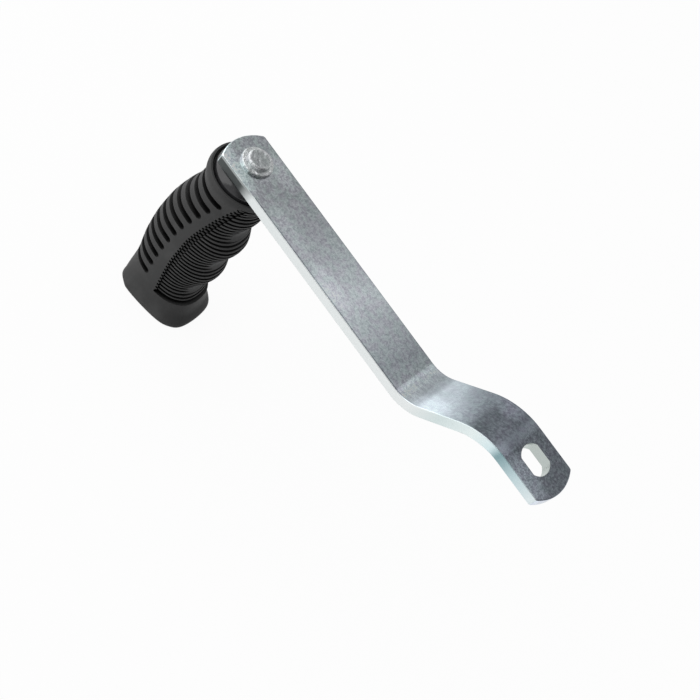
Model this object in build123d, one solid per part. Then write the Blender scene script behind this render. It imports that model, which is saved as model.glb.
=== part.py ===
from build123d import *
import math
import os

# Crank handle: a joggled flat steel arm with a double-D drive slot at the hub end and a
# freely turning moulded hand grip on a riveted spindle at the other end.
#
# Frame, in millimetres: the origin is the centre of the drive slot on the face that seats
# against the shaft's shoulder.  +X runs along the arm to the grip, +Z is that face's outward
# normal, and the grip hangs below the arm, towards -Z.

# ---- Crank arm: flat bar ----
bar_width = 25.0
bar_thickness = 5.0
crank_radius = 160.0          # drive slot centre to spindle centre
joggle_rise = 26.5            # step between the hub pad and the long run of the arm
joggle_angle = 45.0           # slope of the joggle's web
joggle_start = 19.5           # drive slot centre to the first bend's corner
hub_bend_radius = 25.0        # inside radius of the bend beside the hub pad
run_bend_radius = 15.0        # inside radius of the bend at the long run
hub_end_reach = 15.5          # drive slot centre to the tip of the hub end
grip_end_reach = 13.0         # spindle centre to the tip of the grip end
end_radius = 22.0             # both ends are cut to this arc
end_corner_radius = 1.5       # where the end arc meets the bar's edges
edge_radius = 0.5             # rolled edge left by blanking, both faces

# ---- Drive slot: double-D hole ----
slot_diameter = 13.5
slot_flats = 11.0             # across the flats, which run along the arm

# ---- Spindle: cold headed pin, riveted over on top of the arm ----
journal_diameter = 10.0
rivet_shank_diameter = 8.0
rivet_hole_clearance = 0.05   # radial
rivet_flange_diameter = 14.2
rivet_flange_height = 1.4
rivet_head_diameter = 10.2
rivet_head_height = 3.2       # above the arm's face
rivet_head_round = 0.9
rivet_flange_round = 0.45
spindle_head_diameter = 17.0
spindle_head_thickness = 3.0
spindle_head_chamfer = 1.0

# ---- Thrust collar: nylon bush between the arm and the grip ----
collar_bore_clearance = 0.06  # radial, on the journal
collar_top_diameter = 19.0
collar_base_diameter = 28.2
collar_rim_rise = 0.7         # collar's rim above the grip's rim
collar_crown = 0.5            # swell of the collar's sloping face
collar_edge_round = 0.4
collar_running_gap = 0.25     # axial, to the floor of the grip's mouth

# ---- Retaining washer ----
washer_diameter = 19.0
washer_thickness = 1.6
washer_edge_break = 0.25
washer_bore_clearance = 0.2   # radial, on the journal
washer_running_gap = 0.25     # axial, to the grip

# ---- Hand grip: one moulding ----
rim_gap = 4.0                 # arm's underside to the grip's rim
grip_length = 92.2
grip_turn = 7.5               # how far the free grip stands turned about its spindle, degrees
grip_bore_clearance = 0.08    # radial, on the journal
rim_radius = 16.2
shoulder_radius = 16.7        # rolled shoulder just below the rim
shoulder_drop = 2.5
neck_radius = 15.0
palm_reach = 20.6             # spindle axis to the palm side at the swell
waist_reach = 16.6            # same, just above the flared foot
finger_reach = 19.3           # spindle axis to the crest of a finger swell
body_half_width = 15.5
foot_back_reach = 15.7
foot_front_reach = 23.0
foot_half_width = 17.8
foot_round = 1.2

finger_count = 3
finger_start = 13.0           # rim to the crest above the first finger hollow
finger_depth = 3.4
foot_height = 10.2            # last crest to the foot of the grip

mouth_land = 0.8              # flat ring round the rim
mouth_step = 0.6
mouth_depth = 2.2
mouth_floor_clearance = 0.4   # radial, round the collar's base

slot_count = 11               # finger-cooling slots across the palm side
slot_first = 9.2              # rim to the centre of the first slot
slot_last_margin = 18.3       # last slot to the foot of the grip
slot_width = 3.2
slot_depth = 8.0

rib_pitch = 2.215
rib_groove_width = 1.2
rib_groove_depth = 1.8
rib_first = 3.4               # rim to the centre of the first groove
rib_last_margin = 13.4        # last groove to the foot of the grip
rib_fade = 0.3                # share of a finger hollow that the grooves' floor follows
rib_valley_near = 0.9         # valley between the ribs' ends and the finger swells,
rib_valley_far = 3.1          # measured from the ribbed side's edge
rib_valley_depth = 0.9
closing_groove_width = 2.0    # wider groove that ends the ribbed side above the foot

foot_wall = 3.0
foot_recess_depth = 2.0
counterbore_clearance = 1.2   # radial, round the washer
counterbore_depth = 9.0       # foot of the grip to the seat of the washer

section_points = 16           # points that shape one cross-section of the grip

# ---- Derived places ----
finger_pitch = (grip_length - finger_start - foot_height) / finger_count
slot_pitch = (grip_length - slot_first - slot_last_margin) / (slot_count - 1)
arm_top = -joggle_rise
arm_underside = arm_top - bar_thickness
rim_level = arm_underside - rim_gap
foot_level = rim_level - grip_length
washer_seat_level = foot_level + counterbore_depth
spindle_head_top = washer_seat_level - washer_running_gap - washer_thickness
mouth_floor_level = rim_level - mouth_depth
journal_radius = journal_diameter / 2

# Cross-sections of the plain grip, before the finger hollows: share of the length below the
# rim, palm reach, finger reach, half width, and squareness (2 is an ellipse).
GRIP_FORM = (
    (0.00, rim_radius, rim_radius, rim_radius, 2.0),
    (shoulder_drop / grip_length, shoulder_radius, shoulder_radius, shoulder_radius, 2.0),
    (0.10, neck_radius, neck_radius + 0.8, neck_radius + 0.2, 2.05),
    (0.18, neck_radius + 0.5, finger_reach - 2.0, body_half_width - 0.2, 2.15),
    (0.30, palm_reach - 2.3, finger_reach - 1.0, body_half_width, 2.3),
    (0.42, palm_reach - 0.5, finger_reach - 0.3, body_half_width, 2.35),
    (0.55, palm_reach, finger_reach, body_half_width, 2.35),
    (0.70, palm_reach - 1.0, finger_reach, body_half_width, 2.35),
    (0.83, waist_reach + 0.6, finger_reach, body_half_width + 0.1, 2.4),
    (0.90, waist_reach, finger_reach + 0.4, body_half_width + 0.6, 2.5),
    (0.95, waist_reach - 0.5, foot_front_reach - 1.3, foot_half_width - 0.8, 2.8),
    (1.00, foot_back_reach, foot_front_reach, foot_half_width, 3.2),
)
RIB_EDGE = ((0.0, -9.8), (0.2, -4.1), (0.45, -0.4), (0.57, -0.3), (0.8, -2.4), (1.0, -6.5))
RIB_BED = ((0.0, 0.2), (0.5, 0.2), (0.7, 0.9), (1.0, 0.9))
SLOT_END = ((0.0, -7.6), (0.2, -0.4), (0.45, 4.1), (0.6, 4.7), (0.8, 3.7), (1.0, 0.0))


def glide(table, share, column):
    """Read one column of a table at a share of the grip's length, with no overshoot."""
    places = [row[0] for row in table]
    values = [row[column] for row in table]
    rises = [
        (values[step + 1] - values[step]) / (places[step + 1] - places[step])
        for step in range(len(table) - 1)
    ]
    slopes = [rises[0]]
    for before, after in zip(rises, rises[1:]):
        level = before * after <= 0
        slopes.append(0.0 if level else 2 * before * after / (before + after))
    slopes.append(rises[-1])

    index = 0
    while index < len(rises) - 1 and share > places[index + 1]:
        index += 1
    span = places[index + 1] - places[index]
    t = (share - places[index]) / span
    return (
        (2 * t**3 - 3 * t**2 + 1) * values[index]
        + (t**3 - 2 * t**2 + t) * slopes[index] * span
        + (3 * t**2 - 2 * t**3) * values[index + 1]
        + (t**3 - t**2) * slopes[index + 1] * span
    )


def finger_hollow(drop):
    """Depth of the finger hollows at a distance below the rim."""
    phase = (drop - finger_start) / finger_pitch
    if phase < 0 or phase > finger_count:
        return 0.0
    return finger_depth * (1 - math.cos(2 * math.pi * phase)) / 2


def grip_section(drop, inset=0.0, hollowing=1.0):
    """Closed outline of the grip at a distance below the rim, drawn in by the inset."""
    share = min(max(drop / grip_length, 0.0), 1.0)
    back = glide(GRIP_FORM, share, 1) - inset
    front = glide(GRIP_FORM, share, 2) - inset
    half_width = glide(GRIP_FORM, share, 3) - inset
    squareness = glide(GRIP_FORM, share, 4)
    hollow = hollowing * finger_hollow(drop)
    points = []
    # The outline starts on the plain band between slots and ribs, clear of most cuts.
    for step in range(section_points):
        angle = 2 * math.pi * (step + section_points / 4 - 1) / section_points
        along = math.copysign(abs(math.cos(angle)) ** (2 / squareness), math.cos(angle))
        across = math.copysign(abs(math.sin(angle)) ** (2 / squareness), math.sin(angle))
        x = back * along
        if along < 0:
            x = front * along + hollow * abs(along) ** 1.2
        points.append((x, half_width * across))
    # Even parameters keep each point in line with the same point of the next section.
    spacing = list(range(section_points + 1))
    outline = Edge.make_spline(points, periodic=True, parameters=spacing)
    return Pos(0, 0, rim_level - drop) * make_face(outline)


def grip_body(inset=0.0, hollowing=1.0, bedded=False):
    """Loft through the grip's cross-sections, with four to each finger hollow."""
    last_crest = grip_length - foot_height
    drops = [0.0, shoulder_drop, finger_start * 0.4, finger_start * 0.7]
    drops += [finger_start + finger_pitch * number / 4 for number in range(4 * finger_count)]
    drops += [last_crest, last_crest + foot_height / 2, grip_length]
    sections = []
    for drop in drops:
        depth = inset
        if bedded:
            depth += glide(RIB_BED, drop / grip_length, 1)
        sections.append(grip_section(drop, depth, hollowing))
    return loft(sections)


def rib_band(near, far, first, last):
    """Block across the grip between two distances from the ribbed side's edge."""
    steps = 9
    drops = [first + (last - first) * number / steps for number in range(steps + 1)]
    edges = [(glide(RIB_EDGE, drop / grip_length, 1), rim_level - drop) for drop in drops]
    outline = [(x - near, z) for x, z in edges]
    outline += [(x - far, z) for x, z in reversed(edges)]
    band = make_face(Polyline(*outline, outline[0]))
    return extrude(Plane.XZ * band, foot_half_width + 5, both=True)


def cross_cut(near, far, drop, width, round_end):
    """Bar across the grip, between two places along the arm, at a distance below the rim."""
    length = abs(far - near)
    reach = 2 * foot_half_width + 10
    bar = Box(length, reach, width)
    bar = Pos((near + far) / 2, 0, rim_level - drop) * bar
    if round_end:
        tip = Rot(90, 0, 0) * Cylinder(width / 2, reach)
        bar += Pos(near, 0, rim_level - drop) * tip
    return bar


def round_edges(shape, radius, level):
    """Circular edges of a turned piece that have one radius and lie at one level."""
    circles = shape.edges().filter_by(GeomType.CIRCLE)
    return [
        edge
        for edge in circles
        if abs(edge.radius - radius) < 0.01 and abs(edge.center().Z - level) < 0.01
    ]


def make_crank_arm():
    """Flat bar with two bends, arc-cut ends, drive slot and spindle hole."""
    run = joggle_rise / math.tan(math.radians(joggle_angle))
    middle = -bar_thickness / 2
    path = FilletPolyline(
        (-bar_width, 0, middle),
        (joggle_start, 0, middle),
        (joggle_start + run, 0, middle - joggle_rise),
        (crank_radius + bar_width, 0, middle - joggle_rise),
        radius=[radius + bar_thickness / 2 for radius in (hub_bend_radius, run_bend_radius)],
    )
    start = Plane(path @ 0, x_dir=(0, 1, 0), z_dir=path % 0)
    bar = sweep(start * Rectangle(bar_width, bar_thickness), path=path)

    half = bar_width / 2
    shoulder = end_radius - math.sqrt(end_radius**2 - half**2)
    hub_corner = -hub_end_reach + shoulder
    grip_corner = crank_radius + grip_end_reach - shoulder
    outline = Polyline((hub_corner, half), (grip_corner, half))
    outline += RadiusArc((grip_corner, half), (grip_corner, -half), end_radius)
    outline += Polyline((grip_corner, -half), (hub_corner, -half))
    outline += RadiusArc((hub_corner, -half), (hub_corner, half), end_radius)
    blank = make_face(outline)
    blank = fillet(blank.vertices(), end_corner_radius)
    depth = joggle_rise + 2 * bar_thickness
    arm = bar & Pos(0, 0, bar_thickness - depth) * extrude(blank, depth)

    rims = arm.edges().filter_by(lambda edge: abs(edge.tangent_at(0.5).Z) < 0.9)
    arm = fillet(rims, edge_radius)

    slot = Circle(slot_diameter / 2) & Rectangle(2 * slot_diameter, slot_flats)
    arm -= Pos(0, 0, -2 * bar_thickness) * extrude(slot, 4 * bar_thickness)
    hole_radius = rivet_shank_diameter / 2 + rivet_hole_clearance
    return arm - Pos(crank_radius, 0, arm_top) * Cylinder(hole_radius, 4 * bar_thickness)


def make_spindle():
    """Headed journal, shouldered under the arm and riveted over above it."""
    flange = rivet_flange_diameter / 2
    head = rivet_head_diameter / 2
    shank = rivet_shank_diameter / 2
    foot = spindle_head_diameter / 2
    foot_bottom = spindle_head_top - spindle_head_thickness
    profile = Polyline(
        (0, foot_bottom),
        (foot, foot_bottom),
        (foot, spindle_head_top),
        (journal_radius, spindle_head_top),
        (journal_radius, arm_underside),
        (shank, arm_underside),
        (shank, arm_top),
        (flange, arm_top),
        (flange, arm_top + rivet_flange_height),
        (head, arm_top + rivet_flange_height),
        (head, arm_top + rivet_head_height),
        (0, arm_top + rivet_head_height),
        (0, foot_bottom),
    )
    face = make_face(profile)
    spindle = revolve(Plane.XZ * face, Axis.Z)
    flange_edge = round_edges(spindle, flange, arm_top + rivet_flange_height)
    spindle = fillet(flange_edge, rivet_flange_round)
    head_edge = round_edges(spindle, head, arm_top + rivet_head_height)
    spindle = fillet(head_edge, rivet_head_round)
    spindle = chamfer(round_edges(spindle, foot, foot_bottom), spindle_head_chamfer)
    return Pos(crank_radius, 0, 0) * spindle


def make_thrust_collar():
    """Domed bush on the journal, from the arm's underside down into the grip's mouth."""
    bore = journal_radius + collar_bore_clearance
    top = collar_top_diameter / 2
    base = collar_base_diameter / 2
    bottom = mouth_floor_level + collar_running_gap
    rim = rim_level + collar_rim_rise
    slope = math.atan2(arm_underside - rim, base - top)
    crown_x = (top + base) / 2 + collar_crown * math.sin(slope)
    crown_z = (arm_underside + rim) / 2 + collar_crown * math.cos(slope)
    outline = Polyline((base, rim), (base, bottom), (bore, bottom), (bore, arm_underside))
    outline += Line((bore, arm_underside), (top, arm_underside))
    outline += ThreePointArc((top, arm_underside), (crown_x, crown_z), (base, rim))
    collar = revolve(Plane.XZ * make_face(outline), Axis.Z)
    collar = fillet(round_edges(collar, base, rim), collar_edge_round)
    return Pos(crank_radius, 0, 0) * collar


def make_retaining_washer():
    """Plain washer between the spindle's head and the grip."""
    bore = journal_radius + washer_bore_clearance
    disc = Circle(washer_diameter / 2) - Circle(bore)
    washer = extrude(disc, washer_thickness)
    rim = washer_diameter / 2
    outer = round_edges(washer, rim, 0) + round_edges(washer, rim, washer_thickness)
    washer = chamfer(outer, washer_edge_break)
    return Pos(crank_radius, 0, spindle_head_top) * washer


def make_hand_grip():
    """Moulded grip: ribbed finger side, slotted palm side, recessed mouth and foot."""
    grip = grip_body()
    foot_edges = grip.edges().filter_by(
        lambda edge: abs(edge.center().Z - foot_level) < 0.01
    )
    grip = fillet(foot_edges, foot_round)

    beyond = foot_front_reach + 15
    slots = []
    for number in range(slot_count):
        drop = slot_first + number * slot_pitch
        near = glide(SLOT_END, drop / grip_length, 1)
        slots.append(cross_cut(near + slot_width / 2, beyond, drop, slot_width, True))
    slot_cutter = Part() + slots
    grip -= slot_cutter - grip_body(slot_depth)

    ribs_top = rib_first - rib_pitch / 2
    ribs_bottom = grip_length - rib_last_margin
    bed = rib_band(rib_valley_far, beyond, ribs_top, ribs_bottom)
    grip -= bed - grip_body(bedded=True)
    valley = rib_band(rib_valley_near, rib_valley_far, ribs_top, ribs_bottom)
    grip -= valley - grip_body(rib_valley_depth)

    grooves = []
    drop = rib_first
    while drop < ribs_bottom - rib_pitch / 2:
        edge = glide(RIB_EDGE, drop / grip_length, 1)
        grooves.append(cross_cut(edge, -beyond, drop, rib_groove_width, False))
        drop += rib_pitch
    edge = glide(RIB_EDGE, ribs_bottom / grip_length, 1)
    grooves.append(cross_cut(edge, -beyond, ribs_bottom, closing_groove_width, False))
    groove_cutter = Part() + grooves
    grip -= groove_cutter - grip_body(rib_groove_depth, rib_fade, bedded=True)

    land = rim_radius - mouth_land
    floor_radius = collar_base_diameter / 2 + mouth_floor_clearance
    mouth = make_face(
        Polyline(
            (0, rim_level + 1),
            (land, rim_level + 1),
            (land, rim_level - mouth_step),
            (floor_radius, mouth_floor_level),
            (0, mouth_floor_level),
            (0, rim_level + 1),
        )
    )
    grip -= revolve(Plane.XZ * mouth, Axis.Z)

    bore = journal_radius + grip_bore_clearance
    counterbore = washer_diameter / 2 + counterbore_clearance
    middle = (rim_level + foot_level) / 2
    grip -= Pos(0, 0, middle) * Cylinder(bore, grip_length)
    grip -= Pos(0, 0, foot_level) * Cylinder(counterbore, 2 * counterbore_depth)
    recess = grip_section(grip_length, foot_wall)
    grip -= Pos(0, 0, foot_recess_depth) * extrude(recess, -2 * foot_recess_depth)
    return Pos(crank_radius, 0, 0) * Rot(0, 0, grip_turn) * grip


def main():
    """Write one STEP file for each piece."""
    os.makedirs("parts", exist_ok=True)
    pieces = {
        "crank_arm": make_crank_arm(),
        "handle_spindle": make_spindle(),
        "thrust_collar": make_thrust_collar(),
        "retaining_washer": make_retaining_washer(),
        "hand_grip": make_hand_grip(),
    }
    for name, piece in pieces.items():
        solids = piece.solids()
        print(name, len(solids), "solid, volume", round(piece.volume, 1))
        export_step(piece, f"parts/{name}.step")


if __name__ == "__main__":
    main()
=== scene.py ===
"""Looks of a cranked winch handle: zinc-plated flat arm, riveted spindle and moulded grip."""

import logging
import math
from dataclasses import dataclass
from enum import Enum
from typing import Any

import bpy
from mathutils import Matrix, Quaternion, Vector

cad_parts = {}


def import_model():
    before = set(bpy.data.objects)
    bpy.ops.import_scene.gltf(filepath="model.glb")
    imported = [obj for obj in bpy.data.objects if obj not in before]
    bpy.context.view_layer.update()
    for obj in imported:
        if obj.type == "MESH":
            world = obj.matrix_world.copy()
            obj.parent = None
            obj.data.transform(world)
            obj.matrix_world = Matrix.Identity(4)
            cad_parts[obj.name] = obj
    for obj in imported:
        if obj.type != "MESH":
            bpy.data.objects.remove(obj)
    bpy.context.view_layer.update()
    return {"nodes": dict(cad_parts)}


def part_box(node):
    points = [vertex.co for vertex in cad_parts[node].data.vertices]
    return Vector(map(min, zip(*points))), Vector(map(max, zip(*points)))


logging.basicConfig(level=logging.INFO, format="%(message)s")
log = logging.getLogger("crank_handle")

Colour = tuple[float, float, float]
Place = tuple[float, float, float]
Span = tuple[float, float]
Stops = tuple[tuple[float, Colour], ...]
WHITE: Colour = (1.0, 1.0, 1.0)
MIDDLE = 0.5  # the middle of a noise's range


class Ray(Enum):
    """Kinds of ray that the studio tells apart."""

    CAMERA = "Is Camera Ray"
    GLOSSY = "Is Glossy Ray"
    TRANSMISSION = "Is Transmission Ray"


class Blend(Enum):
    """Ways in which one colour acts on another."""

    MIX = "MIX"
    MULTIPLY = "MULTIPLY"


# ---------------------------------------------------------------- shader graphs


@dataclass(frozen=True)
class Grain:
    """How fine a noise is: cells to a metre, octaves of finer noise and their strength."""

    per_metre: float
    octaves: float
    strength: float


class Signal:
    """One output socket of a shader graph, usable in arithmetic."""

    def __init__(self, graph: "ShaderGraph", socket: Any) -> None:
        """Wrap a socket.

        Args:
            graph: The graph that holds the socket.
            socket: The output socket.
        """
        self.graph = graph
        self.socket = socket

    def _maths(self, operation: str, first: Any, second: Any) -> "Signal":
        """Return the result of a new Math node."""
        return self.graph.node(
            "ShaderNodeMath", {"operation": operation}, {0: first, 1: second}
        )["Value"]

    def __add__(self, other: Any) -> "Signal":
        """Return self + other."""
        return self._maths("ADD", self, other)

    def __radd__(self, other: Any) -> "Signal":
        """Return other + self."""
        return self._maths("ADD", other, self)

    def __sub__(self, other: Any) -> "Signal":
        """Return self - other."""
        return self._maths("SUBTRACT", self, other)

    def __rsub__(self, other: Any) -> "Signal":
        """Return other - self."""
        return self._maths("SUBTRACT", other, self)

    def __mul__(self, other: Any) -> "Signal":
        """Return self * other."""
        return self._maths("MULTIPLY", self, other)

    def __rmul__(self, other: Any) -> "Signal":
        """Return other * self."""
        return self._maths("MULTIPLY", other, self)

    def __truediv__(self, other: Any) -> "Signal":
        """Return self / other."""
        return self._maths("DIVIDE", self, other)

    def __rtruediv__(self, other: Any) -> "Signal":
        """Return other / self."""
        return self._maths("DIVIDE", other, self)

    def __pow__(self, other: Any) -> "Signal":
        """Return self to the power other."""
        return self._maths("POWER", self, other)

    def __rpow__(self, other: Any) -> "Signal":
        """Return other to the power self."""
        return self._maths("POWER", other, self)


class ShaderGraph:
    """A node tree that is written as Python calls and expressions."""

    def __init__(self, tree: bpy.types.NodeTree) -> None:
        """Start an empty graph.

        Args:
            tree: The node tree to clear and fill.
        """
        self.tree = tree
        tree.nodes.clear()

    def node(
        self,
        kind: str,
        settings: dict[str, Any] | None = None,
        inputs: dict[Any, Any] | None = None,
    ) -> dict[str, Signal]:
        """Add a node.

        Args:
            kind: The node's type name.
            settings: Attributes to set first; "stops" fills a colour ramp.
            inputs: Values or signals by socket name or index.

        Returns:
            The node's enabled outputs by name.
        """
        node = self.tree.nodes.new(kind)
        for name, value in (settings or {}).items():
            if name == "stops":
                self._fill_ramp(node.color_ramp, value)
            else:
                setattr(node, name, value)
        for key, value in (inputs or {}).items():
            socket = self._input(node, key)
            if isinstance(value, Signal):
                self.tree.links.new(value.socket, socket)
            else:
                socket.default_value = value
        return {out.name: Signal(self, out) for out in node.outputs if out.enabled}

    @staticmethod
    def _input(node: bpy.types.Node, key: Any) -> Any:
        """Return an enabled input of a node by its name or index."""
        if isinstance(key, int):
            return node.inputs[key]
        return next(s for s in node.inputs if s.name == key and s.enabled)

    @staticmethod
    def _fill_ramp(ramp: bpy.types.ColorRamp, stops: Stops) -> None:
        """Give a colour ramp its stops.

        Args:
            ramp: The ramp to fill.
            stops: Pairs of a share from 0 to 1 and its colour.
        """
        while len(ramp.elements) < len(stops):
            ramp.elements.new(1.0)
        for element, (place, colour) in zip(ramp.elements, stops):
            element.position = place
            element.color = (*colour, 1.0)

    def object_place(self) -> Signal:
        """Return the place on the piece, in metres."""
        return self.node("ShaderNodeTexCoord")["Object"]

    def axes(self, place: Signal) -> dict[str, Signal]:
        """Split a place into its X, Y and Z."""
        return self.node("ShaderNodeSeparateXYZ", inputs={"Vector": place})

    def beyond(self, value: Signal, limit: float, soft: float) -> Signal:
        """Return a soft mask of where a value's size passes a limit."""
        size = self.node("ShaderNodeMath", {"operation": "ABSOLUTE"}, {0: value})["Value"]
        return self.smooth_range(size, limit - soft, limit + soft)

    def ramp(self, value: Signal, low: float, high: float, stops: Stops) -> Signal:
        """Return a colour that changes with a value.

        Args:
            value: The value to follow.
            low: Where the first stop may stand.
            high: Where the last stop may stand.
            stops: Pairs of a value from low to high and its colour.

        Returns:
            The colour.
        """
        span = high - low
        shares = tuple(((at - low) / span, colour) for at, colour in stops)
        share = self.node(
            "ShaderNodeMapRange", inputs={"Value": value, "From Min": low, "From Max": high}
        )["Result"]
        return self.node("ShaderNodeValToRGB", {"stops": shares}, {"Fac": share})["Color"]

    def scaled(self, colour: Signal, share: Signal) -> Signal:
        """Return a colour made lighter or darker by a share."""
        return self.node(
            "ShaderNodeVectorMath", {"operation": "SCALE"}, {"Vector": colour, "Scale": share}
        )["Vector"]

    def openness(self, reach: float, samples: int) -> Signal:
        """Return how open the place is to the air, 0 at the bottom of a deep hollow.

        Args:
            reach: How far away a wall still closes the place in.
            samples: How many directions are tried.

        Returns:
            The openness, from 0 to 1.
        """
        return self.node(
            "ShaderNodeAmbientOcclusion",
            {"samples": samples, "only_local": True},
            {"Distance": reach},
        )["AO"]

    def noise(self, place: Signal, grain: Grain) -> Signal:
        """Return a noise value from 0 to 1.

        Args:
            place: The place to read.
            grain: How fine the noise is.

        Returns:
            The noise.
        """
        return self.node(
            "ShaderNodeTexNoise",
            {"noise_dimensions": "3D"},
            {
                "Vector": place,
                "Scale": grain.per_metre,
                "Detail": grain.octaves,
                "Roughness": grain.strength,
            },
        )["Fac"]

    def smooth_range(self, value: Signal, low: float, high: float) -> Signal:
        """Return 0 below low, 1 above high, and a smooth step between them."""
        return self.node(
            "ShaderNodeMapRange",
            {"interpolation_type": "SMOOTHSTEP"},
            {"Value": value, "From Min": low, "From Max": high},
        )["Result"]

    def mix(self, factor: Any, first: Any, second: Any, blend: Blend = Blend.MIX) -> Signal:
        """Mix two colours.

        Args:
            factor: How much of the second colour shows.
            first: The colour at a factor of 0.
            second: The colour at a factor of 1, before it is blended.
            blend: How the second colour acts on the first.

        Returns:
            The mixed colour.
        """
        return self.node(
            "ShaderNodeMix",
            {"data_type": "RGBA", "blend_type": blend.value},
            {"Factor": factor, "A": self.rgba(first), "B": self.rgba(second)},
        )["Result"]

    def tinted(self, colour: Any, tint: Any) -> Signal:
        """Return a colour multiplied by another."""
        return self.mix(1.0, colour, tint, Blend.MULTIPLY)

    def bump(self, height: Signal, depth: float, strength: float, under: Any = None) -> Signal:
        """Return a normal bent by a height.

        Args:
            height: The height, from 0 to 1.
            depth: The height's size in metres.
            strength: How much of it shows.
            under: A normal to build on.

        Returns:
            The bent normal.
        """
        inputs = {"Height": height, "Distance": depth, "Strength": strength}
        if under is not None:
            inputs["Normal"] = under
        return self.node("ShaderNodeBump", inputs=inputs)["Normal"]

    def ray_is(self, *kinds: Ray) -> Signal:
        """Return 1 for rays of any of some kinds, and 0 for the others.

        Args:
            kinds: The kinds of ray.

        Returns:
            The mask.
        """
        rays = self.node("ShaderNodeLightPath")
        first, *others = kinds
        seen = rays[first.value]
        for kind in others:
            seen = self.node(
                "ShaderNodeMath", {"operation": "MAXIMUM"}, {0: seen, 1: rays[kind.value]}
            )["Value"]
        return seen

    def facing(self, outward: Signal, direction: Vector) -> Signal:
        """Return the cosine of the angle between two directions."""
        return self.node(
            "ShaderNodeVectorMath", {"operation": "DOT_PRODUCT"}, {0: outward, 1: direction}
        )["Value"]

    @staticmethod
    def rgba(colour: Any) -> Any:
        """Give a plain colour its fourth value; pass a signal through."""
        return colour if isinstance(colour, Signal) else (*colour, 1.0)


def towards(azimuth: float, elevation: float) -> Vector:
    """Return the unit vector of a direction.

    Args:
        azimuth: Degrees round from +X to +Y.
        elevation: Degrees up from the floor.

    Returns:
        The direction.
    """
    around, up = math.radians(azimuth), math.radians(elevation)
    return Vector((math.cos(up) * math.cos(around), math.cos(up) * math.sin(around), math.sin(up)))


def new_material(name: str) -> tuple[bpy.types.Material, ShaderGraph]:
    """Make a material with an empty graph.

    Args:
        name: The material's name.

    Returns:
        The material and its graph.
    """
    material = bpy.data.materials.new(name)
    material.use_nodes = True
    return material, ShaderGraph(material.node_tree)


# ---------------------------------------------------------------- finishes


@dataclass(frozen=True)
class ZincPlate:
    """Bright zinc over rolled or headed steel, with a fine mottled grain."""

    name: str
    light: Colour = (0.83, 0.875, 0.90)
    dark: Colour = (0.27, 0.295, 0.32)
    violet: Colour = (0.54, 0.52, 0.59)
    green: Colour = (0.50, 0.59, 0.58)
    cast_share: float = 0.42
    cast_range: Span = (0.4, 0.6)
    fleck_share: float = 0.47
    fleck_range: Span = (0.43, 0.57)
    cloud_share: float = 0.45
    cloud_range: Span = (0.42, 0.58)
    patch_share: float = 0.08
    patch_range: Span = (0.35, 0.65)
    grain: Grain = Grain(1100.0, 3.0, 0.7)
    mottle: Grain = Grain(560.0, 3.0, 0.6)
    patch: Grain = Grain(90.0, 2.0, 0.5)
    cast: Grain = Grain(280.0, 3.0, 0.6)
    dent: Grain = Grain(430.0, 2.0, 0.5)
    roughness: float = 0.21
    grain_spread: float = 0.2
    mottle_spread: float = 0.2
    grain_depth: float = 0.00007
    grain_strength: float = 0.3
    dent_depth: float = 0.00012
    dent_strength: float = 0.3
    metal: float = 1.0

    def material(self) -> bpy.types.Material:
        """Build the finish.

        Returns:
            The material.
        """
        material, graph = new_material(self.name)
        place = graph.object_place()
        grain = graph.noise(place, self.grain)
        mottle = graph.noise(place, self.mottle)
        patch = graph.noise(place, self.patch)
        cast = graph.noise(place, self.cast)
        dent = graph.noise(place, self.dent)

        tone = graph.smooth_range(grain, *self.fleck_range) * self.fleck_share
        tone = tone + graph.smooth_range(mottle, *self.cloud_range) * self.cloud_share
        tone = tone + graph.smooth_range(patch, *self.patch_range) * self.patch_share
        plain = graph.mix(tone, self.dark, self.light)
        tint = graph.mix(graph.smooth_range(cast, *self.cast_range), self.violet, self.green)
        colour = self.finish_over(graph, place, graph.mix(self.cast_share, plain, tint))

        rough = self.roughness + (grain - MIDDLE) * self.grain_spread
        rough = self.roughness_over(graph, place, rough + (mottle - MIDDLE) * self.mottle_spread)
        normal = graph.bump(dent, self.dent_depth, self.dent_strength)
        normal = graph.bump(grain, self.grain_depth, self.grain_strength, normal)
        shader = graph.node(
            "ShaderNodeBsdfPrincipled",
            inputs={
                "Base Color": colour,
                "Metallic": self.metal,
                "Roughness": rough,
                "Normal": normal,
            },
        )["BSDF"]
        graph.node("ShaderNodeOutputMaterial", inputs={"Surface": shader})
        return material

    def finish_over(self, graph: ShaderGraph, place: Signal, colour: Signal) -> Signal:
        """Return the plate's colour with what lies over it; plain plate has nothing."""
        return colour

    def roughness_over(self, graph: ShaderGraph, place: Signal, rough: Signal) -> Signal:
        """Return the plate's roughness where it differs; plain plate is even."""
        return rough


@dataclass(frozen=True)
class PaintedHighlightPatch:
    """A soft oval of painted highlight on the bar's face."""

    along: float
    across: float
    length: float
    width: float
    gain: float

    def share(self, graph: ShaderGraph, axis: dict[str, Signal]) -> Signal:
        """Return the patch's strength, 1 at its middle and 0 from its outline on.

        Args:
            graph: The finish's graph.
            axis: The place on the piece, split.

        Returns:
            The strength.
        """
        along = (axis["X"] - self.along) / self.length
        across = (axis["Y"] - self.across) / self.width
        return 1 - graph.smooth_range(along * along + across * across, 0.0, 1.0)


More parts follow.
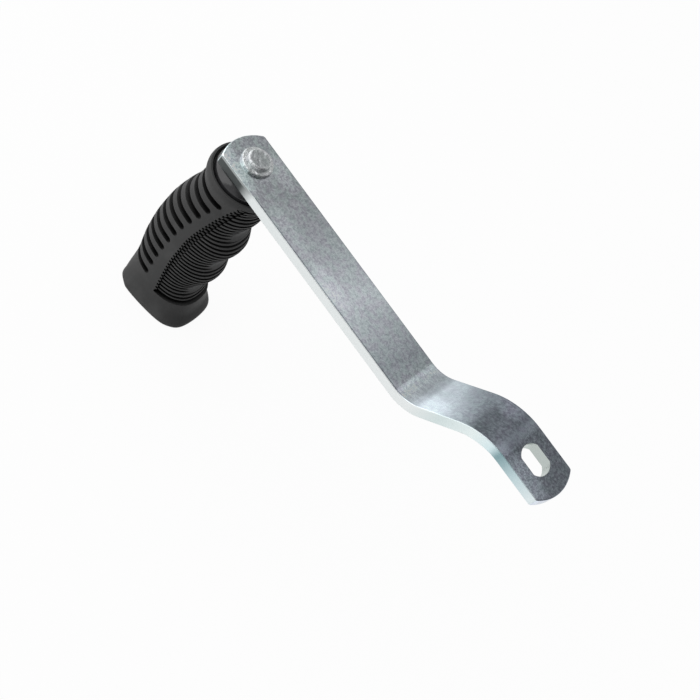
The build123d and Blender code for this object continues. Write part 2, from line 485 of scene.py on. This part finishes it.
@dataclass(frozen=True)
class RivetZinc(ZincPlate):
    """Zinc on the headed pin, whose hammered top is painted darker than its flange and walls as
    painted shade.
    """

    light: Colour = (0.88, 0.90, 0.90)
    dark: Colour = (0.55, 0.57, 0.58)
    cast_share: float = 0.2
    dent: Grain = Grain(420.0, 2.0, 0.5)
    dent_depth: float = 0.0009
    dent_strength: float = 0.9
    roughness: float = 0.3
    metal: float = 0.8
    axis_x: float = 0.160
    top_radius: float = 0.0042
    top_soft: float = 0.0007
    # Painted shade on the top of the head.
    top: Colour = (0.66, 0.68, 0.68)

    def finish_over(self, graph: ShaderGraph, place: Signal, colour: Signal) -> Signal:
        """Paint shade on the top of the head.

        Args:
            graph: The finish's graph.
            place: The place on the piece.
            colour: The plate's colour.

        Returns:
            The colour to show.
        """
        axis = graph.axes(place)
        across = axis["X"] - self.axis_x
        radius = (across * across + axis["Y"] * axis["Y"]) ** 0.5
        rim = graph.smooth_range(
            radius, self.top_radius - self.top_soft, self.top_radius + self.top_soft
        )
        # Painted shade: inside the top radius the colour is multiplied by the darker top colour.
        return graph.tinted(colour, graph.mix(rim, self.top, WHITE))


@dataclass(frozen=True)
class BarZinc(ZincPlate):
    """Zinc on the flat bar: painted sheen, highlights and shade along and across its face, painted
    reflection and shade on its cut sides, and dull cut edges.
    """

    painted_span_start: float = -0.030
    painted_span_end: float = 0.180
    # Painted sheen and shade along the bar: each stop stands in for the light that its bends and
    # faces reflect, and stops above 1 are painted highlight.
    painted_sheen: Stops = (
        (-0.020, (0.68, 0.71, 0.77)),
        (0.005, (0.64, 0.67, 0.73)),
        (0.0115, (0.41, 0.43, 0.48)),
        (0.018, (0.56, 0.57, 0.64)),
        (0.026, (0.42, 0.46, 0.49)),
        (0.031, (0.58, 0.62, 0.66)),
        (0.036, (0.94, 1.01, 1.05)),
        (0.0415, (1.03, 1.09, 1.13)),
        (0.0436, (0.68, 0.72, 0.75)),
        (0.0465, (1.20, 1.25, 1.28)),
        (0.0500, (1.62, 1.68, 1.72)),
        (0.054, (0.86, 0.88, 0.90)),
        (0.061, (0.74, 0.77, 0.79)),
        (0.074, (0.92, 0.94, 0.96)),
        (0.091, (1.22, 1.23, 1.25)),
        (0.125, (0.82, 0.83, 0.84)),
        (0.148, (0.84, 0.85, 0.85)),
        (0.160, (0.98, 1.01, 1.00)),
    )
    # Painted reflection and shade on the cut sides along the bar: bright where they reflect the
    # floor, dark at the hub bend and near the rivet end where they would mirror the grip.
    cut_edge_reflection_and_shade: Stops = (
        (-0.010, (0.80, 0.88, 0.90)),
        (0.000, (0.60, 0.74, 0.77)),
        (0.010, (0.27, 0.42, 0.45)),
        (0.014, (0.76, 0.90, 0.93)),
        (0.022, (0.87, 0.95, 0.95)),
        (0.034, (0.73, 0.82, 0.82)),
        (0.045, (0.87, 0.90, 0.90)),
        (0.148, (0.84, 0.88, 0.88)),
        (0.155, (0.10, 0.11, 0.11)),
    )
    cut_roughness: float = 0.5
    half_width: float = 0.0125
    cut_inset: float = 0.00025
    edge_soft: float = 0.00015
    rolled_width: float = 0.0054
    rolled_flare: float = 0.12
    # Painted highlight on the top face near its +Y edge at the rivet end, where the rounded-over
    # edge catches the light.
    rolled: Colour = (1.5, 1.56, 1.55)
    rolled_from: float = 0.146
    rolled_to: float = 0.156
    shaded: Colour = (0.55, 0.57, 0.60)
    shaded_width: float = 0.0009
    shaded_from: float = 0.046
    shaded_to: float = 0.145
    shaded_fade: float = 0.004
    hard_share: float = 1 / 3
    calm: Colour = (0.55, 0.585, 0.61)
    calm_hub: float = 0.25
    calm_web: float = 0.35
    calm_from: float = 0.028
    calm_to: float = 0.046
    calm_fade: float = 0.006
    # Painted sheen: how much lighter the bar is painted towards its +Y edge.
    sheen_tilt_across: float = 5.0
    # Painted highlights where the bar's bends and faces catch the light.
    painted_highlights: tuple[PaintedHighlightPatch, ...] = (
        PaintedHighlightPatch(-0.003, 0.0110, 0.019, 0.0085, 1.80),
        PaintedHighlightPatch(0.0405, 0.0100, 0.008, 0.0100, 1.38),
        PaintedHighlightPatch(0.1030, 0.0090, 0.014, 0.0070, 1.20),
        PaintedHighlightPatch(0.0200, -0.0090, 0.007, 0.0070, 1.60),
        PaintedHighlightPatch(0.1300, 0.0085, 0.016, 0.0070, 1.22),
        PaintedHighlightPatch(0.1520, -0.0080, 0.012, 0.0060, 1.25),
    )
    face_drop: float = 0.0013
    run_top: float = -0.0265
    # Painted highlight on the upper strip of the side face near the rivet end.
    rolled_side_highlight: Colour = (0.42, 0.45, 0.45)
    slot_radius: float = 0.00682
    slot_half_width: float = 0.00557
    slot_wall: Colour = (0.50, 0.55, 0.53)
    web_slant: float = 0.3
    web_end: float = 0.034
    run_start: float = 0.042

    def finish_over(self, graph: ShaderGraph, place: Signal, colour: Signal) -> Signal:
        """Paint the sheen and the highlight patches on the plate, then paint highlights, reflection
        and shade on the bar's edges.

        Args:
            graph: The finish's graph.
            place: The place on the piece.
            colour: The plate's colour.

        Returns:
            The colour to show.
        """
        axis = graph.axes(place)
        joggle = 1 - graph.smooth_range(axis["X"], self.calm_to, self.calm_to + self.calm_fade)
        slope = graph.smooth_range(axis["X"], self.calm_from, self.calm_from + self.calm_fade)
        calm = joggle * (slope * self.calm_web + self.calm_hub)
        colour = graph.mix(calm, colour, self.calm)

        # Painted sheen: the colour is multiplied by a tone that follows the bar's length and slants
        # across the web.
        web = 1 - graph.smooth_range(axis["X"], self.web_end, self.run_start)
        along = axis["X"] + web * axis["Y"] * self.web_slant
        painted_sheen = graph.ramp(along, self.painted_span_start, self.painted_span_end, self.painted_sheen)
        colour = graph.tinted(colour, painted_sheen)
        # Painted sheen across the bar: lighter towards its +Y edge, darker towards its -Y edge.
        gain = axis["Y"] * self.sheen_tilt_across + 1.0
        # Painted highlights: each patch multiplies the colour by its gain.
        for patch in self.painted_highlights:
            gain = gain * (1.0 + patch.share(graph, axis) * (patch.gain - 1.0))
        colour = graph.scaled(colour, gain)

        # Painted highlight along the rounded-over +Y edge near the rivet end.
        outward = axis["Y"] + (axis["X"] - self.rolled_from) * self.rolled_flare
        near = graph.smooth_range(outward, self.half_width - self.rolled_width, self.half_width)
        near = near * graph.smooth_range(axis["X"], self.rolled_from, self.rolled_to)
        colour = graph.mix(near, colour, graph.tinted(colour, self.rolled))
        # Painted shade: thin dark lines along the face's edges.
        rims = self._shaded_rims(graph, axis)
        colour = graph.mix(rims, colour, graph.tinted(colour, self.shaded))

        # Painted reflection and shade on the cut sides, with a painted highlight on their upper
        # strip near the rivet end.
        edge = graph.ramp(axis["X"], self.painted_span_start, self.painted_span_end, self.cut_edge_reflection_and_shade)
        low = self.run_top - self.face_drop
        rolled = graph.smooth_range(axis["Z"], low, low + self.face_drop * self.hard_share)
        rolled = rolled * graph.smooth_range(axis["X"], self.rolled_from, self.rolled_to)
        edge = graph.mix(rolled, edge, self.rolled_side_highlight)
        colour = graph.mix(self._cut_side(graph, axis), colour, edge)
        return graph.mix(self._slot_walls(graph, axis), colour, self.slot_wall)

    def roughness_over(self, graph: ShaderGraph, place: Signal, rough: Signal) -> Signal:
        """Make the cut edges duller than the rolled faces."""
        side = self._cut_side(graph, graph.axes(place))
        return rough + side * (self.cut_roughness - self.roughness)

    def _shaded_rims(self, graph: ShaderGraph, axis: dict[str, Signal]) -> Signal:
        """Mark the thin lines of painted shade where the bar's face turns over to its sides.

        Args:
            graph: The finish's graph.
            axis: The place on the piece, split.

        Returns:
            The mask.
        """
        inner = self.half_width - self.shaded_width
        far = graph.smooth_range(0 - axis["Y"], inner, self.half_width)
        run = graph.smooth_range(axis["X"], self.shaded_from, self.shaded_from + self.shaded_fade)
        end = graph.smooth_range(axis["X"], self.shaded_to, self.shaded_to + self.shaded_fade)
        hard = self.shaded_width * self.hard_share
        return far + run * (1 - end) * graph.smooth_range(axis["Y"], inner, inner + hard)

    def _slot_walls(self, graph: ShaderGraph, axis: dict[str, Signal]) -> Signal:
        """Mark the walls of the drive slot, which is round with two flats.

        Args:
            graph: The finish's graph.
            axis: The place on the piece, split.

        Returns:
            The mask.
        """
        radius = (axis["X"] * axis["X"] + axis["Y"] * axis["Y"]) ** 0.5
        outside = graph.beyond(radius, self.slot_radius, self.edge_soft / 2)
        past_flats = graph.beyond(axis["Y"], self.slot_half_width, self.edge_soft / 2)
        return (1 - outside) * (1 - past_flats)

    def _cut_side(self, graph: ShaderGraph, axis: dict[str, Signal]) -> Signal:
        """Return a mask of the bar's two long cut edges."""
        return graph.beyond(axis["Y"], self.half_width - self.cut_inset, self.edge_soft)


@dataclass(frozen=True)
class MouldedPlastic:
    """Charcoal moulded plastic with a fine spark-eroded grain, and painted shade deep in its
    grooves.
    """

    name: str
    colour: Colour = (0.051, 0.0512, 0.0514)
    scuffed: Colour = (0.068, 0.0682, 0.0684)
    # Painted shade: the colour at the bottom of grooves and slots.
    groove_shade: Colour = (0.003, 0.003, 0.003)
    scuff_range: Span = (0.45, 0.75)
    groove_reach: float = 0.006
    groove_samples: int = 8
    open_range: Span = (0.4, 0.95)
    specular: float = 0.15
    grain: Grain = Grain(2600.0, 2.0, 0.5)
    flow: Grain = Grain(90.0, 3.0, 0.55)
    roughness: float = 0.58
    flow_spread: float = 0.12
    grain_spread: float = 0.1
    grain_depth: float = 0.00005
    grain_strength: float = 0.3

    def material(self) -> bpy.types.Material:
        """Build the finish.

        Returns:
            The material.
        """
        material, graph = new_material(self.name)
        place = graph.object_place()
        grain = graph.noise(place, self.grain)
        flow = graph.noise(place, self.flow)
        scuff = graph.smooth_range(flow, *self.scuff_range)
        # Painted shade: the colour goes near black where nearby walls close the place in, as in
        # grooves and slots.
        openness = graph.openness(self.groove_reach, self.groove_samples)
        open_air = graph.smooth_range(openness, *self.open_range)
        colour = graph.mix(open_air, self.groove_shade, graph.mix(scuff, self.colour, self.scuffed))
        rough = self.roughness + (flow - MIDDLE) * self.flow_spread
        rough = rough + (grain - MIDDLE) * self.grain_spread
        shader = graph.node(
            "ShaderNodeBsdfPrincipled",
            inputs={
                "Base Color": colour,
                "Roughness": rough,
                "Specular IOR Level": self.specular,
                "Normal": graph.bump(grain, self.grain_depth, self.grain_strength),
            },
        )["BSDF"]
        graph.node("ShaderNodeOutputMaterial", inputs={"Surface": shader})
        return material


@dataclass(frozen=True)
class StudioPaper:
    """White sweep that keeps the object's shadow and is clear when seen from below."""

    name: str
    colour: Colour = (0.86, 0.86, 0.86)
    own_light: float = 0.94

    def material(self) -> bpy.types.Material:
        """Build the finish.

        Returns:
            The material.
        """
        material, graph = new_material(self.name)
        paper = graph.node(
            "ShaderNodeBsdfDiffuse", inputs={"Color": graph.rgba(self.colour)}
        )["BSDF"]
        glow = graph.node("ShaderNodeEmission", inputs={"Color": graph.rgba(WHITE)})["Emission"]
        shown = graph.ray_is(Ray.CAMERA, Ray.GLOSSY, Ray.TRANSMISSION) * self.own_light
        surface = graph.node("ShaderNodeMixShader", inputs={0: shown, 1: paper, 2: glow})["Shader"]
        clear = graph.node("ShaderNodeBsdfTransparent")["BSDF"]
        below = graph.node("ShaderNodeNewGeometry")["Backfacing"]
        sheet = graph.node("ShaderNodeMixShader", inputs={0: below, 1: surface, 2: clear})["Shader"]
        graph.node("ShaderNodeOutputMaterial", inputs={"Surface": sheet})
        return material


# ---------------------------------------------------------------- sub-assemblies


@dataclass
class DressedPart:
    """A CAD node that keeps its mesh and gets a finish."""

    node: str
    finish: Any

    def dress(self, nodes: dict[str, bpy.types.Object]) -> None:
        """Give the node its material.

        Args:
            nodes: The frame's nodes by name.
        """
        piece = nodes[self.node]
        piece.data.materials.clear()
        piece.data.materials.append(self.finish.material())
        log.info("%s: %s", self.node, self.finish.name)


@dataclass
class CrankAssembly:
    """The arm with the spindle riveted to it, the thrust collar and the washer."""

    arm: ZincPlate = BarZinc("arm_zinc")
    spindle: ZincPlate = RivetZinc("spindle_zinc")
    washer: ZincPlate = ZincPlate("washer_zinc")
    collar: MouldedPlastic = MouldedPlastic(
        "collar_nylon",
        colour=(0.03, 0.03, 0.032),
        scuffed=(0.05, 0.05, 0.053),
        roughness=0.1,
        specular=0.7,
    )

    def dress(self, nodes: dict[str, bpy.types.Object]) -> None:
        """Dress every piece of the crank.

        Args:
            nodes: The frame's nodes by name.
        """
        DressedPart("crank_arm", self.arm).dress(nodes)
        DressedPart("handle_spindle", self.spindle).dress(nodes)
        DressedPart("retaining_washer", self.washer).dress(nodes)
        DressedPart("thrust_collar", self.collar).dress(nodes)


@dataclass
class HandGrip:
    """The moulded grip that turns on the spindle."""

    plastic: MouldedPlastic = MouldedPlastic("grip_plastic")

    def dress(self, nodes: dict[str, bpy.types.Object]) -> None:
        """Dress the grip.

        Args:
            nodes: The frame's nodes by name.
        """
        DressedPart("hand_grip", self.plastic).dress(nodes)


# ---------------------------------------------------------------- studio


@dataclass(frozen=True)
class SoftPanel:
    """A light or dark panel of the studio, as metal sees it."""

    azimuth: float
    elevation: float
    inner: float
    outer: float
    level: float

    def share(self, graph: ShaderGraph, outward: Signal) -> Signal:
        """Return how much of a direction's light comes from the panel.

        Args:
            graph: The world's graph.
            outward: The direction.

        Returns:
            The share, 1 in the panel's core and 0 outside it.
        """
        edge, core = math.cos(math.radians(self.outer)), math.cos(math.radians(self.inner))
        near = graph.facing(outward, towards(self.azimuth, self.elevation))
        return graph.smooth_range(near, edge, core)


@dataclass
class Studio:
    """Floor, world light, lamp and camera."""

    floor_half: float = 30.0
    ambient: float = 0.46
    ambient_slope: float = 0.44
    gloss_level: float = 0.47
    panels: tuple[SoftPanel, ...] = (
        SoftPanel(-60.0, 36.0, 9.0, 20.0, 0.40),
        SoftPanel(-44.0, 0.0, 5.0, 20.0, 0.95),
        SoftPanel(-98.5, 45.0, 4.0, 14.0, 0.25),
        SoftPanel(-81.5, 47.0, 2.0, 8.0, 0.8),
        SoftPanel(177.0, 36.0, 28.0, 60.0, 0.10),
    )
    key_energy: float = 12.0
    key_size: float = 2.0
    key_place: Place = (0.95, 0.28, 0.48)
    camera_target: Place = (0.0760, 0.0193, -0.0265)
    camera_distance: float = 0.4941
    camera_azimuth: float = 95.95
    camera_elevation: float = 48.78
    camera_roll: float = 49.10
    camera_lens: float = 65.34

    def build(self, floor_level: float) -> None:
        """Set up the whole studio.

        Args:
            floor_level: Height of the floor, in metres.
        """
        self._floor(floor_level)
        self._world()
        self._key_lamp()
        self._camera()
        bpy.context.scene.view_settings.view_transform = "Standard"

    def _floor(self, level: float) -> None:
        """Lay the white sweep under the object.

        Args:
            level: Its height, in metres.
        """
        bpy.ops.mesh.primitive_plane_add(size=2 * self.floor_half, location=(0, 0, level))
        floor = bpy.context.object
        floor.name = "studio_floor"
        floor.data.materials.append(StudioPaper("studio_paper").material())

    def _world(self) -> None:
        """Light the scene evenly, and give metal panels to reflect."""
        world = bpy.data.worlds.new("studio_world")
        world.use_nodes = True
        bpy.context.scene.world = world
        graph = ShaderGraph(world.node_tree)
        outward = graph.node("ShaderNodeTexCoord")["Generated"]
        level: Any = self.gloss_level
        for panel in self.panels:
            share = panel.share(graph, outward)
            level = share * panel.level + (1 - share) * level
        lean = graph.facing(outward, Vector(self.key_place).normalized())
        soft = lean * self.ambient_slope + self.ambient
        glossy = graph.ray_is(Ray.GLOSSY)
        plain = graph.ray_is(Ray.CAMERA, Ray.TRANSMISSION)
        strength = plain + (1 - plain) * (glossy * level + (1 - glossy) * soft)
        shine = graph.node(
            "ShaderNodeBackground", inputs={"Color": graph.rgba(WHITE), "Strength": strength}
        )["Background"]
        graph.node("ShaderNodeOutputWorld", inputs={"Surface": shine})

    def _key_lamp(self) -> None:
        """Hang one soft lamp on the grip's palm side."""
        light = bpy.data.lights.new("key_lamp", "AREA")
        light.energy = self.key_energy
        light.size = self.key_size
        lamp = bpy.data.objects.new("key_lamp", light)
        bpy.context.scene.collection.objects.link(lamp)
        lamp.location = self.key_place
        aim = Vector(self.key_place) - Vector(self.camera_target)
        lamp.rotation_euler = aim.to_track_quat("Z", "Y").to_euler()

    def _camera(self) -> None:
        """Place the camera."""
        outward = towards(self.camera_azimuth, self.camera_elevation)
        data = bpy.data.cameras.new("studio_camera")
        data.lens = self.camera_lens
        camera = bpy.data.objects.new("studio_camera", data)
        bpy.context.scene.collection.objects.link(camera)
        camera.location = Vector(self.camera_target) + self.camera_distance * outward
        roll = Quaternion((0, 0, 1), math.radians(self.camera_roll))
        camera.rotation_euler = (outward.to_track_quat("Z", "Y") @ roll).to_euler()
        bpy.context.scene.camera = camera


def main() -> None:
    """Dress the frame and set up the studio."""
    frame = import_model()
    nodes = frame["nodes"]
    CrankAssembly().dress(nodes)
    HandGrip().dress(nodes)
    floor_level = min(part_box(name)[0].z for name in nodes)
    Studio().build(floor_level)


if __name__ == "__main__":
    main()
